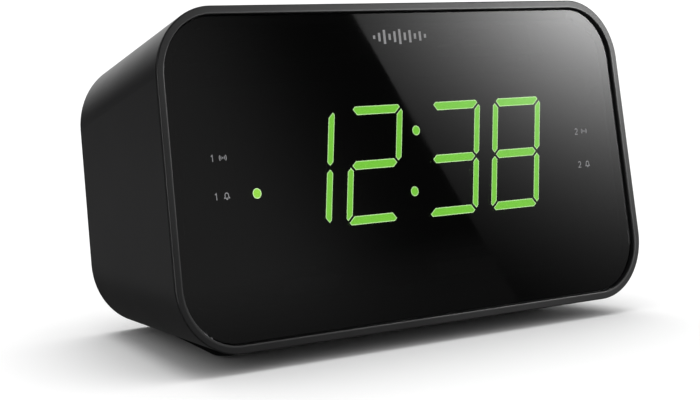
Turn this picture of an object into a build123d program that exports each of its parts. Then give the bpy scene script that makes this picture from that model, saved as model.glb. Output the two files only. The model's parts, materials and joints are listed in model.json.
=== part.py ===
from build123d import *
import os
from math import cos, radians, sin, tan

# Bedside clock radio: a tapered cabinet with a leaning display window, keys on top,
# a speaker, power inlet and battery door at the rear, and a wedge base under it.
# Millimetres. +Z is up, the window faces -Y, and X runs left to right seen from the front.
# The origin is on the table, under the middle of the overall box.

os.makedirs("parts", exist_ok=True)

# ---------------------------------------------------------------- driving dimensions
# Cabinet outlines, measured in their own leaning planes
front_width = 154.2
front_height = 83.3
front_draft = 1.4
front_lean = 10.3
rear_width = 125.4
rear_height = 69.4
rear_lean = 7.3
corner_radius = 17.0
cabinet_depth = 62.25
rear_rise = 0.9
front_centre_height = 45.7
wall = 2.0

# Front frame and window
frame_face = 2.16
frame_face_depth = 0.6
frame_rounding = 0.28
seam = 0.25
lip = 0.8
spigot_gap = 0.1
spigot_depth = 6.0
spigot_wall = 1.1
window_recess = 1.0
window_gap = 0.3
window_thickness = 1.5
window_chamfer = 0.15
gasket_thickness = 0.3
gasket_width = 2.4
ledge_inset = 6.0
ledge_thickness = 1.5

# Seven-segment display
digit_centres = (-35.0, -12.9, 13.9, 36.0)
digit_line = 0.83
digit_slant = 9.8
column_half = 7.75
row_half = 13.78
bar_half = 1.15
post_half = 1.0
segment_gap = 0.36
corner_tip = 0.4
colon_centre = 0.53
colon_half = 7.82
dot_radius = 1.32
indicator_columns = (-50.2, 49.4)
indicator_rows = (5.2, -3.93)
shown_time = "1238"
segments_of = {"1": "bc", "2": "abged", "3": "abgcd", "8": "abcdefg"}
segment_depth = 1.2
reflector_size = (112.0, 38.0, 7.0)
reflector_radius = 3.0
reflector_front = 2.85
board_thickness = 1.6

# Keys on the top
key_size = (9.6, 6.0)
snooze_size = (44.0, 19.0)
snooze_radius = 6.0
snooze_rib = (16.0, 1.6)
snooze_rib_height = 0.4
key_proud = 0.9
snooze_proud = 1.2
key_rounding = 0.5
snooze_rounding = 0.8
key_gap = 0.25
key_flange = 1.0
key_flange_growth = 1.8
key_stem_radius = 1.6
snooze_stem_radius = 2.6
key_columns = (31.0, 43.0)
key_rows = (23.0, 35.0)
snooze_row = 29.0
key_board_drop = 11.0
switch_size = 6.0
switch_height = 3.5
plunger_radius = 1.7
plunger_play = 0.1
plunger_reach = 1.0
plunger_well = 1.9

# Rear cover and what it carries, with x to the right as seen from behind
cover_recess = 0.8
cover_thickness = 2.4
cover_gap = 0.15
cover_screws = (52.0, 25.0)
pillar_length = 16.0
pillar_radius = 3.2
pillar_web = (22.0, 1.6)
speaker_centre = (-33.0, 3.0)
speaker_radius = 24.0
grille_radius = 21.0
grille_pitch = 4.0
grille_hole = 1.15
grille_rows = 6
inlet_centre = (12.0, 19.0)
inlet_hole = 3.7
inlet_bore = 2.85
inlet_pin = 1.0
inlet_pin_length = 9.2
antenna_centre = (36.0, 19.0)
antenna_hole = 2.5
door_centre = (19.0, -10.0)
door_size = (55.0, 26.5)
door_thickness = 1.6
door_gap = 0.2
door_seat_gap = 0.1
scoop_size = (16.0, 4.4)
scoop_depth = 0.8
scoop_rise = 7.5
ridge_size = (12.0, 0.5)
ridge_height = 0.3
ridge_rises = (3.5, 2.3, 1.1)
barrel_radius = 1.2
hinge_pin = 0.65
hinge_pin_reach = 1.2
hinge_play = 0.1
socket_reach = 1.5
bay_size = (50.0, 21.2)
bay_rise = 1.2
bay_depth = 12.5
bay_wall = 1.2

# Screws: shank radius, with the hole that it goes into
board_screw = 1.0
board_hole = 1.05
board_screw_length = 6.0
board_hole_depth = 5.5
rear_screw = 1.4
rear_hole = 1.45
rear_screw_length = 10.0
rear_hole_depth = 11.0
base_screw = 1.3
base_hole = 1.35
base_screw_length = 4.8
boss_radius = 2.4

# Base
base_front = 8.5
base_back = 46.0
base_half_width = 56.9
base_taper = 0.2146
base_underside = 0.8
base_radius = 3.0
foot_radius = 4.5
foot_height = 1.2
foot_gap = 0.1
foot_corners = ((47.0, 15.5), (41.0, 39.0))

# ---------------------------------------------------------------- reference planes
lean = radians(front_lean)
tilt = radians(rear_lean)
front_reach = front_height / 2 * sin(lean)
rear_reach = (
    cabinet_depth * cos(lean) + rear_rise * sin(lean) + rear_height / 2 * sin(tilt)
)
front_centre_y = (front_reach - rear_reach) / 2

# FRONT: x right, y up the face, z out towards the viewer
FRONT = Plane(
    origin=(0, front_centre_y, front_centre_height),
    x_dir=(1, 0, 0),
    z_dir=(0, -cos(lean), sin(lean)),
)
rear_centre = FRONT.from_local_coords(Vector(0, rear_rise, -cabinet_depth))
# REAR looks the same way as FRONT; BACK faces out of the rear with x to the right seen from behind
REAR = Plane(origin=rear_centre, x_dir=(1, 0, 0), z_dir=(0, -cos(tilt), sin(tilt)))
BACK = Plane(origin=rear_centre, x_dir=(-1, 0, 0), z_dir=(0, cos(tilt), -sin(tilt)))


def wall_plane(side):
    """Plane of the top (side 1) or bottom (side -1) wall: x right, y to the rear, z up."""
    near = FRONT.from_local_coords(Vector(0, side * front_height / 2, 0))
    far = REAR.from_local_coords(Vector(0, side * rear_height / 2, 0))
    return Plane(origin=near, x_dir=(1, 0, 0), z_dir=Vector(1, 0, 0).cross(far - near))


def flipped(plane):
    """The same plane facing the other way, with its x mirrored and its y kept."""
    return Plane(origin=plane.origin, x_dir=-plane.x_dir, z_dir=-plane.z_dir)


TOP = wall_plane(1)
BOTTOM = wall_plane(-1)
OUT_OF_FRONT = Axis(FRONT.origin, FRONT.z_dir)
OUT_OF_BACK = Axis(BACK.origin, BACK.z_dir)
OUT_OF_TOP = Axis(TOP.origin, TOP.z_dir)
UP_FROM_BOTTOM = Axis(BOTTOM.origin, BOTTOM.z_dir)


def at_depth(depth):
    """Plane parallel to the front face, depth behind it."""
    return FRONT.offset(-depth)


# ---------------------------------------------------------------- shared shapes
def rounded_outline(width, height, radius, draft=0.0):
    """Rounded outline, width across its middle, whose sides lean in by draft degrees upwards."""
    Trapezoid(width + height * tan(radians(draft)), height, 90 - draft)
    fillet(vertices(), radius)


def face_outline(inset):
    """Outline of the front face drawn in by inset."""
    side_inset = inset / cos(radians(front_draft))
    rounded_outline(
        front_width - 2 * side_inset,
        front_height - 2 * inset,
        corner_radius - inset,
        front_draft,
    )


def cabinet_loft(inset, mode=Mode.ADD):
    """Tapered body between the front and rear outlines, each drawn in by inset."""
    with BuildSketch(FRONT) as near_outline:
        face_outline(inset)
    with BuildSketch(REAR) as far_outline:
        rounded_outline(
            rear_width - 2 * inset, rear_height - 2 * inset, corner_radius - inset
        )
    loft(sections=[near_outline.sketch, far_outline.sketch], mode=mode)


def front_prism(inset, start, end, mode=Mode.ADD):
    """Straight block behind the front face from depth start to depth end."""
    with BuildSketch(at_depth(start)) as outline:
        face_outline(inset)
    extrude(outline.sketch, amount=start - end, mode=mode)


def pins(plane, places, radius, length, mode=Mode.ADD):
    """Round pins of one radius, standing from plane along its normal."""
    with BuildSketch(plane) as circles:
        with Locations(*places):
            Circle(radius)
    extrude(circles.sketch, amount=length, mode=mode)


def blocks(plane, places, size, height, mode=Mode.ADD):
    """Rectangular blocks of one size, standing from plane along its normal."""
    with BuildSketch(plane) as rectangles:
        with Locations(*places):
            Rectangle(*size)
    extrude(rectangles.sketch, amount=height, mode=mode)


def pan_head_screws(plane, places, shank_radius, length):
    """Cross-recessed screws whose heads stand on plane and whose shanks go below it."""
    head_radius = shank_radius * 2.0
    head_height = shank_radius * 1.3
    recess = (shank_radius * 2.4, shank_radius * 0.5)
    pins(plane, places, head_radius, head_height)
    pins(plane, places, shank_radius, -length)
    with BuildSketch(plane.offset(head_height)) as crosses:
        with Locations(*places):
            Rectangle(*recess)
            Rectangle(*reversed(recess))
    extrude(crosses.sketch, amount=-head_height * 0.6, mode=Mode.SUBTRACT)


def slanted(points, centre):
    """Digit points leaned to the right and moved to the digit's centre."""
    slope = tan(radians(digit_slant))
    return [(centre + x + y * slope, digit_line + y) for x, y in points]


def bar_points(level, outward):
    """Horizontal segment at a level; outward is +1 or -1 for the top or bottom bar, 0 in the middle."""
    tip = corner_tip * outward
    reach = column_half - segment_gap + abs(tip)
    outer = bar_half - abs(tip)
    inner = bar_half + abs(tip)
    side = outward or 1
    right = [
        (reach - outer, level + side * bar_half),
        (reach, level + tip),
        (reach - inner, level - side * bar_half),
    ]
    return right + [(-x, y) for x, y in reversed(right)]


def post_points(side, upper):
    """Vertical segment on one side, in the upper (1) or lower (-1) half of a digit."""
    tip = corner_tip * 0.9
    far = row_half - segment_gap + tip
    middle = column_half * side
    return [
        (middle, upper * segment_gap),
        (middle + side * post_half, upper * (segment_gap + post_half)),
        (middle + side * post_half, upper * (far - post_half + tip)),
        (middle + side * tip, upper * far),
        (middle - side * post_half, upper * (far - post_half - tip)),
        (middle - side * post_half, upper * (segment_gap + post_half)),
    ]


segment_outlines = {
    "a": bar_points(row_half, 1),
    "b": post_points(1, 1),
    "c": post_points(1, -1),
    "d": bar_points(-row_half, -1),
    "e": post_points(-1, -1),
    "f": post_points(-1, 1),
    "g": bar_points(0, 0),
}
lit_outlines = []
dark_outlines = []
segment_middles = []
for digit, centre in zip(shown_time, digit_centres):
    for name, outline in segment_outlines.items():
        points = slanted(outline, centre)
        segment_middles.append(
            (sum(x for x, y in points) / 6, sum(y for x, y in points) / 6)
        )
        if name in segments_of[digit]:
            lit_outlines.append(points)
        else:
            dark_outlines.append(points)
colon_places = slanted([(colon_centre, colon_half), (colon_centre, -colon_half)], 0)
lit_indicator = (indicator_columns[0], indicator_rows[1])
dark_indicators = [
    (indicator_columns[0], indicator_rows[0]),
    (indicator_columns[1], indicator_rows[0]),
    (indicator_columns[1], indicator_rows[1]),
]


def segments(outlines, depth, length, mode=Mode.ADD):
    """Segment blocks with their faces at depth behind the front plane."""
    with BuildSketch(at_depth(depth)) as faces:
        for points in outlines:
            Polygon(*points, align=None)
    extrude(faces.sketch, amount=-length, mode=mode)


# ---------------------------------------------------------------- cabinet
window_back = window_recess + window_thickness
ledge_front = window_back + gasket_thickness
ledge_back = ledge_front + ledge_thickness
reflector_back = reflector_front + reflector_size[2]
display_board_back = reflector_back + board_thickness
shell_front = frame_face_depth + seam
rebate_depth = spigot_depth + 0.2
cover_inner = cover_recess + cover_thickness

display_screws = [(x, y) for x in (-69.3, 69.3) for y in (-15.0, 15.0)]
key_board_screws = [(x, y) for x in (-52.5, 52.5) for y in (14.5, 38.0)]
main_board_screws = [(x, y) for x in (-50.0, 50.0) for y in (16.0, 40.0)]
base_screw_places = [(x, 20.0) for x in (-38.0, 0.0, 38.0)]
rear_screw_places = [
    (x * cover_screws[0], y * cover_screws[1]) for x in (-1, 1) for y in (-1, 1)
]
main_board_height = 8.0
base_boss_height = 5.0
base_boss_radius = boss_radius + 0.4

key_places = {
    "alarm_one_key": (-key_columns[1], key_rows[0]),
    "alarm_two_key": (-key_columns[0], key_rows[0]),
    "time_set_key": (-key_columns[1], key_rows[1]),
    "radio_key": (-key_columns[0], key_rows[1]),
    "tuning_down_key": (key_columns[0], key_rows[0]),
    "tuning_up_key": (key_columns[1], key_rows[0]),
    "volume_down_key": (key_columns[0], key_rows[1]),
    "volume_up_key": (key_columns[1], key_rows[1]),
}
snooze_place = (0.0, snooze_row)

with BuildPart() as spigot:
    cabinet_loft(lip + spigot_gap)
    split(bisect_by=at_depth(spigot_depth), keep=Keep.TOP)
    split(bisect_by=at_depth(frame_face_depth), keep=Keep.BOTTOM)

spigot_taper = spigot_depth * (front_width - rear_width) / 2 / cabinet_depth
with BuildPart() as front_frame:
    cabinet_loft(0)
    split(bisect_by=at_depth(frame_face_depth), keep=Keep.TOP)
    front_prism(frame_face, 0, frame_face_depth, mode=Mode.SUBTRACT)
    fillet(front_frame.faces().sort_by(OUT_OF_FRONT)[-1].edges(), frame_rounding)
    add(spigot.part)
    front_prism(frame_face, frame_face_depth, ledge_front, mode=Mode.SUBTRACT)
    front_prism(ledge_inset, frame_face_depth, spigot_depth, mode=Mode.SUBTRACT)
    front_prism(
        lip + spigot_gap + spigot_taper + spigot_wall,
        ledge_back,
        spigot_depth,
        mode=Mode.SUBTRACT,
    )
    # Bosses behind the ledge carry the display board
    pins(
        at_depth(reflector_back),
        display_screws,
        boss_radius,
        reflector_back - ledge_front,
    )
    pins(
        at_depth(reflector_back),
        display_screws,
        board_hole,
        board_hole_depth,
        mode=Mode.SUBTRACT,
    )
front_frame.part.label = "front_frame"
export_step(front_frame.part, "parts/front_frame.step")

with BuildPart() as rebate:
    cabinet_loft(lip)
    split(bisect_by=at_depth(rebate_depth), keep=Keep.TOP)

# Screw pillars and bosses, trimmed to the inside of the cabinet walls
with BuildPart() as rear_pillars:
    with BuildSketch(BACK.offset(-cover_inner)):
        with Locations(*rear_screw_places):
            Circle(pillar_radius)
        for x, y in rear_screw_places:
            with Locations(Location((x, y, 0), 45 if x * y > 0 else -45)):
                Rectangle(*pillar_web)
    extrude(amount=-pillar_length)
    with BuildSketch(BACK):
        Rectangle(2 * cover_screws[0], rear_height * 2)
        Rectangle(rear_width * 2, 2 * cover_screws[1])
        with Locations(*rear_screw_places):
            Circle(pillar_radius, mode=Mode.SUBTRACT)
    extrude(amount=-cabinet_depth, mode=Mode.SUBTRACT)
    cabinet_loft(wall / 2, mode=Mode.INTERSECT)

with BuildPart() as cabinet_shell:
    cabinet_loft(0)
    cabinet_loft(wall, mode=Mode.SUBTRACT)
    add(rebate.part, mode=Mode.SUBTRACT)
    split(bisect_by=at_depth(shell_front), keep=Keep.BOTTOM)
    add(rear_pillars.part)
    pins(
        BACK.offset(-cover_inner),
        rear_screw_places,
        rear_hole,
        -rear_hole_depth,
        mode=Mode.SUBTRACT,
    )
    # Hanging bosses for the key board
    pins(
        TOP.offset(-key_board_drop),
        key_board_screws,
        boss_radius,
        key_board_drop - wall / 2,
    )
    pins(
        TOP.offset(-key_board_drop),
        key_board_screws,
        board_hole,
        board_hole_depth,
        Mode.SUBTRACT,
    )
    # Standing bosses for the main board, and lower ones for the base screws
    pins(
        BOTTOM.offset(wall / 2),
        main_board_screws,
        boss_radius,
        main_board_height - wall / 2,
    )
    pins(
        BOTTOM.offset(main_board_height),
        main_board_screws,
        board_hole,
        -board_hole_depth,
        Mode.SUBTRACT,
    )
    pins(
        BOTTOM.offset(wall / 2),
        base_screw_places,
        base_boss_radius,
        base_boss_height - wall / 2,
    )
    pins(
        BOTTOM.offset(-wall / 2),
        base_screw_places,
        base_hole,
        base_boss_height,
        Mode.SUBTRACT,
    )
    # Key openings through the top wall
    with BuildSketch(TOP.offset(wall / 2)):
        with Locations(*key_places.values()):
            SlotOverall(key_size[0] + 2 * key_gap, key_size[1] + 2 * key_gap)
        with Locations(snooze_place):
            RectangleRounded(
                snooze_size[0] + 2 * key_gap,
                snooze_size[1] + 2 * key_gap,
                snooze_radius + key_gap,
            )
    extrude(amount=-2 * wall, mode=Mode.SUBTRACT)
cabinet_shell.part.label = "cabinet_shell"
export_step(cabinet_shell.part, "parts/cabinet_shell.step")

# ---------------------------------------------------------------- window and display
with BuildPart() as display_lens:
    front_prism(frame_face + window_gap, window_recess, window_back)
    chamfer(display_lens.faces().sort_by(OUT_OF_FRONT)[-1].edges(), window_chamfer)
display_lens.part.label = "display_lens"
export_step(display_lens.part, "parts/display_lens.step")

gasket_inset = frame_face + 2 * window_gap
with BuildPart() as lens_gasket:
    front_prism(gasket_inset, window_back, ledge_front)
    front_prism(
        gasket_inset + gasket_width, window_back, ledge_front, mode=Mode.SUBTRACT
    )
lens_gasket.part.label = "lens_gasket"
export_step(lens_gasket.part, "parts/lens_gasket.step")

with BuildPart() as reflector_block:
    with BuildSketch(at_depth(reflector_front)):
        with Locations((0, digit_line)):
            RectangleRounded(*reflector_size[:2], reflector_radius)
    extrude(amount=-reflector_size[2])
    segments(
        lit_outlines + dark_outlines,
        reflector_front,
        reflector_size[2],
        mode=Mode.SUBTRACT,
    )
    pins(
        at_depth(reflector_front),
        colon_places + [lit_indicator] + dark_indicators,
        dot_radius,
        -reflector_size[2],
        mode=Mode.SUBTRACT,
    )
reflector_block.part.label = "reflector_block"
export_step(reflector_block.part, "parts/reflector_block.step")

with BuildPart() as lit_segments:
    segments(lit_outlines, reflector_front, segment_depth)
lit_segments.part.label = "lit_segments"
export_step(lit_segments.part, "parts/lit_segments.step")

with BuildPart() as unlit_segments:
    segments(dark_outlines, reflector_front, segment_depth)
unlit_segments.part.label = "unlit_segments"
export_step(unlit_segments.part, "parts/unlit_segments.step")

with BuildPart() as lit_dots:
    pins(
        at_depth(reflector_front),
        colon_places + [lit_indicator],
        dot_radius,
        -segment_depth,
    )
lit_dots.part.label = "lit_dots"
export_step(lit_dots.part, "parts/lit_dots.step")

with BuildPart() as unlit_dots:
    pins(at_depth(reflector_front), dark_indicators, dot_radius, -segment_depth)
unlit_dots.part.label = "unlit_dots"
export_step(unlit_dots.part, "parts/unlit_dots.step")

display_board_size = (143.0, 46.0)
board_clearance = board_screw + 0.15
with BuildPart() as display_board:
    blocks(at_depth(display_board_back), [(0, 0)], display_board_size, board_thickness)
    pins(
        at_depth(display_board_back),
        display_screws,
        board_clearance,
        board_thickness,
        mode=Mode.SUBTRACT,
    )
display_board.part.label = "display_board"
export_step(display_board.part, "parts/display_board.step")

led_size = (1.4, 0.9)
led_height = 0.6
with BuildPart() as led_chips:
    blocks(
        at_depth(reflector_back),
        segment_middles + colon_places + [lit_indicator] + dark_indicators,
        led_size,
        led_height,
    )
led_chips.part.label = "led_chips"
export_step(led_chips.part, "parts/led_chips.step")

# ---------------------------------------------------------------- keys and key board
flange_top = wall + 0.1
flange_bottom = flange_top + key_flange
plunger_top = key_board_drop - switch_height - plunger_reach

with BuildPart() as snooze_bar:
    with BuildSketch(TOP.offset(snooze_proud)):
        with Locations(snooze_place):
            RectangleRounded(*snooze_size, snooze_radius)
    extrude(amount=-snooze_proud - flange_bottom)
    fillet(snooze_bar.faces().sort_by(OUT_OF_TOP)[-1].edges(), snooze_rounding)
    with BuildSketch(TOP.offset(-flange_bottom)):
        with Locations(snooze_place):
            RectangleRounded(
                snooze_size[0] + key_flange_growth,
                snooze_size[1] + key_flange_growth,
                snooze_radius + key_flange_growth / 2,
            )
    extrude(amount=key_flange)
    pins(
        TOP.offset(-flange_bottom),
        [snooze_place],
        snooze_stem_radius,
        flange_bottom - plunger_top,
    )
    # A long tactile rib lies across the middle of the bar
    with BuildSketch(TOP.offset(snooze_proud)):
        with Locations(snooze_place):
            SlotOverall(*snooze_rib)
    extrude(amount=snooze_rib_height)
snooze_bar.part.label = "snooze_bar"
export_step(snooze_bar.part, "parts/snooze_bar.step")

for name, place in key_places.items():
    with BuildPart() as key:
        with BuildSketch(TOP.offset(key_proud)):
            with Locations(place):
                SlotOverall(*key_size)
        extrude(amount=-key_proud - flange_bottom)
        fillet(key.faces().sort_by(OUT_OF_TOP)[-1].edges(), key_rounding)
        with BuildSketch(TOP.offset(-flange_bottom)):
            with Locations(place):
                SlotOverall(
                    key_size[0] + key_flange_growth, key_size[1] + key_flange_growth
                )
        extrude(amount=key_flange)
        pins(
            TOP.offset(-flange_bottom),
            [place],
            key_stem_radius,
            flange_bottom - plunger_top,
        )
    key.part.label = name
    export_step(key.part, f"parts/{name}.step")

switch_places = {"snooze_bar": snooze_place, **key_places}
plunger_length = plunger_reach + plunger_well - 1.0
for name, place in switch_places.items():
    with BuildPart() as plunger:
        pins(TOP.offset(-plunger_top), [place], plunger_radius, -plunger_length)
    plunger.part.label = f"{name}_plunger"
    export_step(plunger.part, f"parts/{name}_plunger.step")

with BuildPart() as switch_housings:
    blocks(
        TOP.offset(-key_board_drop),
        switch_places.values(),
        (switch_size, switch_size),
        switch_height,
    )
    pins(
        TOP.offset(-key_board_drop + switch_height),
        switch_places.values(),
        plunger_radius + plunger_play,
        -plunger_well,
        mode=Mode.SUBTRACT,
    )
switch_housings.part.label = "switch_housings"
export_step(switch_housings.part, "parts/switch_housings.step")

key_board_size = (112.0, 31.0)
key_board_row = 26.0
with BuildPart() as key_board:
    blocks(
        TOP.offset(-key_board_drop),
        [(0, key_board_row)],
        key_board_size,
        -board_thickness,
    )
    pins(
        TOP.offset(-key_board_drop),
        key_board_screws,
        board_clearance,
        -board_thickness,
        mode=Mode.SUBTRACT,
    )
key_board.part.label = "key_board"
export_step(key_board.part, "parts/key_board.step")

# ---------------------------------------------------------------- main board
main_board_size = (110.0, 32.0)
main_board_centre = (0.0, 28.0)
board_top = main_board_height + board_thickness
with BuildPart() as main_board:
    blocks(
        BOTTOM.offset(main_board_height),
        [main_board_centre],
        main_board_size,
        board_thickness,
    )
    pins(
        BOTTOM.offset(main_board_height),
        main_board_screws,
        board_clearance,
        board_thickness,
        mode=Mode.SUBTRACT,
    )
main_board.part.label = "main_board"
export_step(main_board.part, "parts/main_board.step")

chip_size = (12.0, 12.0)
chip_height = 1.6
with BuildPart() as processor_chip:
    blocks(BOTTOM.offset(board_top), [main_board_centre], chip_size, chip_height)
    chamfer(processor_chip.edges().filter_by(UP_FROM_BOTTOM), chip_height / 2)
processor_chip.part.label = "processor_chip"
export_step(processor_chip.part, "parts/processor_chip.step")

tuner_place = (-26.0, 26.0)
tuner_size = (18.0, 14.0)
tuner_height = 4.2
with BuildPart() as tuner_module:
    blocks(BOTTOM.offset(board_top), [tuner_place], tuner_size, tuner_height)
    fillet(tuner_module.faces().sort_by(UP_FROM_BOTTOM)[-1].edges(), 0.5)
tuner_module.part.label = "tuner_module"
export_step(tuner_module.part, "parts/tuner_module.step")

capacitor_places = [(20.0, 26.5), (28.0, 26.5), (36.0, 26.5), (36.0, 36.0)]
capacitor_radius = 3.15
capacitor_height = 8.0
with BuildPart() as capacitors:
    pins(
        BOTTOM.offset(board_top), capacitor_places, capacitor_radius, capacitor_height
    )
    chamfer(capacitors.faces().group_by(UP_FROM_BOTTOM)[-1].edges(), 0.4)
capacitors.part.label = "capacitors"
export_step(capacitors.part, "parts/capacitors.step")

connector_height = 4.0
display_ribbon_x = 24.0
key_ribbon_x = -20.0
display_connector = (display_ribbon_x, -17.0)
key_connector = (key_ribbon_x, 37.0)
main_display_connector = (display_ribbon_x, 17.5)
main_key_connector = (key_ribbon_x, 39.0)
wide_connector = (22.0, 4.0)
narrow_connector = (18.0, 4.0)
key_board_under = TOP.offset(-key_board_drop - board_thickness)
with BuildPart() as board_connectors:
    blocks(
        BOTTOM.offset(board_top),
        [main_display_connector],
        wide_connector,
        connector_height,
    )
    blocks(
        BOTTOM.offset(board_top),
        [main_key_connector],
        narrow_connector,
        connector_height,
    )
    blocks(
        at_depth(display_board_back),
        [display_connector],
        wide_connector,
        -connector_height,
    )
    blocks(key_board_under, [key_connector], narrow_connector, -connector_height)
board_connectors.part.label = "board_connectors"
export_step(board_connectors.part, "parts/board_connectors.step")


def side_point(plane, up, out):
    """Point of a plane's middle section, as (Y, Z) in the object's frame."""
    point = plane.from_local_coords(Vector(0, up, out))
    return (point.Y, point.Z)


ribbon_thickness = 0.3
ribbon_lead = 3.0
ribbon_bend = 0.8
ribbon_margin = 1.5
display_ribbon_route = [
    side_point(
        at_depth(display_board_back),
        display_connector[1] - wide_connector[1] / 2,
        -connector_height / 2,
    ),
    side_point(
        at_depth(display_board_back),
        display_connector[1] - wide_connector[1] / 2 - ribbon_lead,
        -connector_height / 2,
    ),
    side_point(
        BOTTOM,
        main_display_connector[1],
        board_top + connector_height + ribbon_lead - 1,
    ),
    side_point(BOTTOM, main_display_connector[1], board_top + connector_height),
]
key_ribbon_route = [
    side_point(key_board_under, key_connector[1], -connector_height),
    side_point(key_board_under, key_connector[1], -connector_height - ribbon_lead),
    side_point(BOTTOM, main_key_connector[1], board_top + connector_height + ribbon_lead),
    side_point(BOTTOM, main_key_connector[1], board_top + connector_height),
]
for name, route, middle, connector in (
    ("display_ribbon", display_ribbon_route, display_ribbon_x, wide_connector),
    ("key_ribbon", key_ribbon_route, key_ribbon_x, narrow_connector),
):
    width = connector[0] - 2 * ribbon_margin
    with BuildPart() as ribbon:
        with BuildSketch(Plane.YZ.offset(middle - width / 2)):
            with BuildLine():
                FilletPolyline(*route, radius=ribbon_bend)
            trace(line_width=ribbon_thickness)
        extrude(amount=width)
    ribbon.part.label = name
    export_step(ribbon.part, f"parts/{name}.step")

# ---------------------------------------------------------------- rear cover
door_low = door_centre[1] - door_size[1] / 2
hinge_height = door_low + barrel_radius
hinge_drop = cover_recess + barrel_radius
bay_centre = (door_centre[0], door_centre[1] + bay_rise)
screw_seat = 1.2
screw_seat_radius = 3.1
rear_clearance = rear_screw + 0.2
speaker_hole_depth = 1.4
speaker_screw_circle = speaker_radius + 2.4
speaker_screw_places = [
    (
        speaker_centre[0] + speaker_screw_circle * cos(radians(angle)),
        speaker_centre[1] + speaker_screw_circle * sin(radians(angle)),
    )
    for angle in (90, 210, 330)
]
speaker_pad_radius = 2.2
flange_thickness = 1.2
# Thicker strip of the cover behind the hinge: width, height and thickness
strip_size = (door_size[0] + 3.4, 3.8)
strip_thickness = 1.4
# Plane across the hinge line at the door's end, looking along it
HINGE = Plane(
    origin=BACK.from_local_coords(
        Vector(door_centre[0] - door_size[0] / 2, hinge_height, -hinge_drop)
    ),
    x_dir=BACK.z_dir,
    z_dir=BACK.x_dir,
)
grille_places = [
    (x, y)
    for row in range(-grille_rows, grille_rows + 1)
    for x, y in [
        (
            (column + (row % 2) / 2) * grille_pitch,
            row * grille_pitch * cos(radians(30)),
        )
        for column in range(-grille_rows, grille_rows + 1)
    ]
    if (x * x + y * y) ** 0.5 <= grille_radius - grille_hole
]

with BuildPart() as rear_cover:
    with BuildSketch(BACK.offset(-cover_recess)):
        rounded_outline(
            rear_width - 2 * (wall + cover_gap),
            rear_height - 2 * (wall + cover_gap),
            corner_radius - wall - cover_gap,
        )
    extrude(amount=-cover_thickness)
    blocks(
        BACK.offset(-cover_inner),
        [(door_centre[0], hinge_height - strip_thickness / 2)],
        strip_size,
        -strip_thickness,
    )
    pins(
        BACK.offset(-cover_inner),
        speaker_screw_places,
        speaker_pad_radius,
        -flange_thickness,
    )
    # Door seat, hinge trench and pin sockets
    blocks(
        BACK.offset(-cover_recess),
        [door_centre],
        (door_size[0] + 2 * door_gap, door_size[1] + 2 * door_gap),
        -door_thickness - door_seat_gap,
        Mode.SUBTRACT,
    )
    pins(
        HINGE.offset(-door_gap),
        [(0, 0)],
        barrel_radius + door_gap,
        door_size[0] + 2 * door_gap,
        Mode.SUBTRACT,
    )
    pins(
        HINGE.offset(-socket_reach),
        [(0, 0)],
        hinge_pin + hinge_play,
        door_size[0] + 2 * socket_reach,
        Mode.SUBTRACT,
    )
    blocks(BACK, [bay_centre], bay_size, -cover_inner, Mode.SUBTRACT)
    # Speaker grille
    with BuildSketch(BACK):
        with Locations(speaker_centre):
            with Locations(*grille_places):
                Circle(grille_hole)
    extrude(amount=-cover_inner, mode=Mode.SUBTRACT)
    pins(BACK, [inlet_centre], inlet_hole, -cover_inner, Mode.SUBTRACT)
    pins(BACK, [antenna_centre], antenna_hole, -cover_inner, Mode.SUBTRACT)
    # Seats and holes for the rear screws
    pins(
        BACK,
        rear_screw_places,
        screw_seat_radius,
        -cover_recess - screw_seat,
        Mode.SUBTRACT,
    )
    pins(BACK, rear_screw_places, rear_clearance, -cover_inner, Mode.SUBTRACT)
    pins(
        BACK.offset(-cover_inner - flange_thickness),
        speaker_screw_places,
        board_hole,
        flange_thickness + speaker_hole_depth,
        Mode.SUBTRACT,
    )
rear_cover.part.label = "rear_cover"
export_step(rear_cover.part, "parts/rear_cover.step")

with BuildPart() as battery_door:
    with BuildSketch(BACK.offset(-cover_recess)):
        with Locations((door_centre[0], door_centre[1] + barrel_radius / 2)):
            Rectangle(door_size[0], door_size[1] - barrel_radius)
    extrude(amount=-door_thickness)
    pins(HINGE, [(0, 0)], barrel_radius, door_size[0])
    # Thumb scoop near the top edge, with grip ridges below it
    with BuildSketch(BACK.offset(-cover_recess)):
        with Locations((door_centre[0], door_centre[1] + scoop_rise)):
            SlotOverall(*scoop_size)
    extrude(amount=-scoop_depth, mode=Mode.SUBTRACT)
    blocks(
        BACK.offset(-cover_recess),
        [(door_centre[0], door_centre[1] + rise) for rise in ridge_rises],
        ridge_size,
        ridge_height,
    )
    pins(
        HINGE.offset(-hinge_pin_reach),
        [(0, 0)],
        hinge_pin,
        door_size[0] + 2 * hinge_pin_reach,
    )
battery_door.part.label = "battery_door"
export_step(battery_door.part, "parts/battery_door.step")

with BuildPart() as battery_box:
    blocks(
        BACK.offset(-cover_inner),
        [bay_centre],
        (bay_size[0] + 2 * bay_wall, bay_size[1] + 2 * bay_wall),
        -bay_depth - bay_wall,
    )
    blocks(
        BACK.offset(-cover_inner), [bay_centre], bay_size, -bay_depth, Mode.SUBTRACT
    )
battery_box.part.label = "battery_box"
export_step(battery_box.part, "parts/battery_box.step")

contact_thickness = 0.4
contact_size = (contact_thickness, 9.2)
contact_start = 1.5
contact_depth = 9.4
cell_offset = bay_size[1] / 4
contact_x = bay_size[0] / 2 - contact_thickness / 2
contact_places = [
    (bay_centre[0] + x, bay_centre[1] + y)
    for x in (-contact_x, contact_x)
    for y in (-cell_offset, cell_offset)
]
with BuildPart() as battery_contacts:
    blocks(
        BACK.offset(-cover_inner - contact_start),
        contact_places,
        contact_size,
        -contact_depth,
    )
battery_contacts.part.label = "battery_contacts"
export_step(battery_contacts.part, "parts/battery_contacts.step")

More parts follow.
